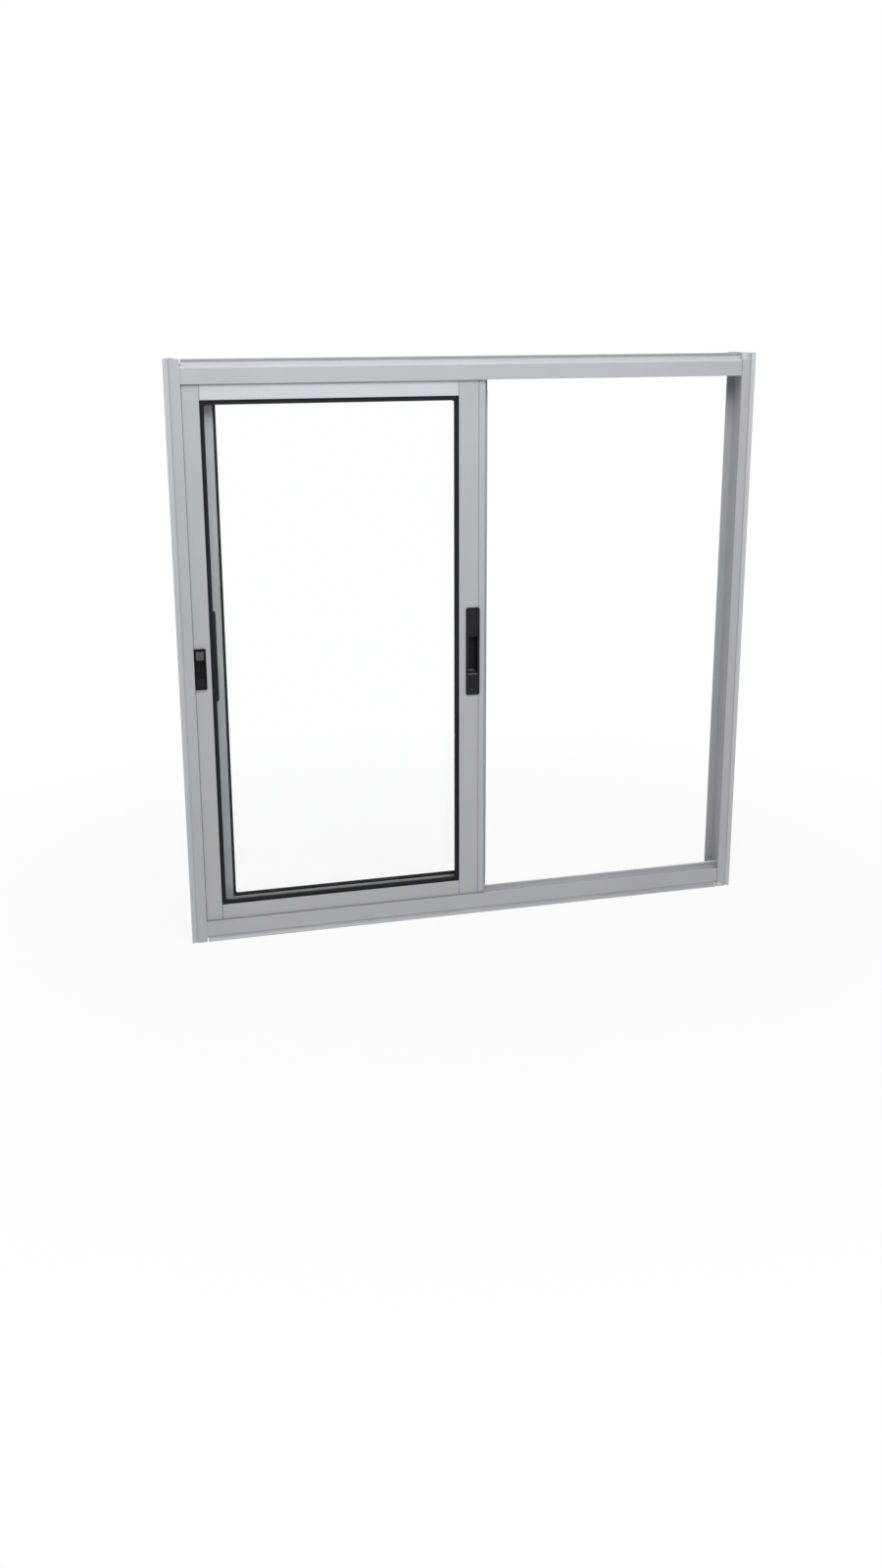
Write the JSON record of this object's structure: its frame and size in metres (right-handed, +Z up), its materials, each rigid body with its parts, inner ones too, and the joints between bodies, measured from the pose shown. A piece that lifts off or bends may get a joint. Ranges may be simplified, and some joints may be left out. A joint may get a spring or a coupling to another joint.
{
  "type": "two-track sliding window",
  "caption": "Aluminium sliding window with an outer frame, glazed sashes on rollers, flush pulls and a sliding latch, shown half open.",
  "frame": {"origin": "middle of the window's footprint, on the surface that the sill stands on", "axes": "+X to the right as seen from the room, +Y away from the room through the window, +Z up"},
  "size_m": [1.04, 0.062, 1],
  "materials": {
    "anodised_aluminium": "natural satin anodised, fine extrusion lines",
    "black_vinyl": "satin black glazing vinyl",
    "clear_glass": "clear float glass with a faint green edge",
    "black_plastic": "fine textured black moulding",
    "grey_plastic": "smooth grey moulding",
    "black_screws": "blackened steel",
    "steel_screws": "zinc plated",
    "nylon": "off-white nylon"
  },
  "bodies": {
    "root": {"head": "anodised_aluminium", "head_rail": "anodised_aluminium", "sill": "anodised_aluminium", "sill_rails": "anodised_aluminium", "left_jamb": "anodised_aluminium", "right_jamb": "anodised_aluminium", "corner_blocks": "anodised_aluminium", "corner_screws": "steel_screws", "front_top_rail": "anodised_aluminium", "front_bottom_rail": "anodised_aluminium", "front_lock_stile": "anodised_aluminium", "front_meeting_stile": "anodised_aluminium", "front_glass": "clear_glass", "front_gasket": "black_vinyl", "front_rollers": "nylon", "front_roller_housings": "black_plastic", "front_pull_plate": "black_plastic", "front_pull_slider": "black_plastic", "front_pull_screws": "black_screws", "latch_body": "black_plastic", "latch_button": "grey_plastic", "rear_top_rail": "anodised_aluminium", "rear_bottom_rail": "anodised_aluminium", "rear_lock_stile": "anodised_aluminium", "rear_meeting_stile": "anodised_aluminium", "rear_glass": "clear_glass", "rear_gasket": "black_vinyl", "rear_rollers": "nylon", "rear_roller_housings": "black_plastic", "rear_pull_plate": "black_plastic", "rear_pull_slider": "black_plastic", "rear_pull_screws": "black_screws"}
  },
  "joints": []
}
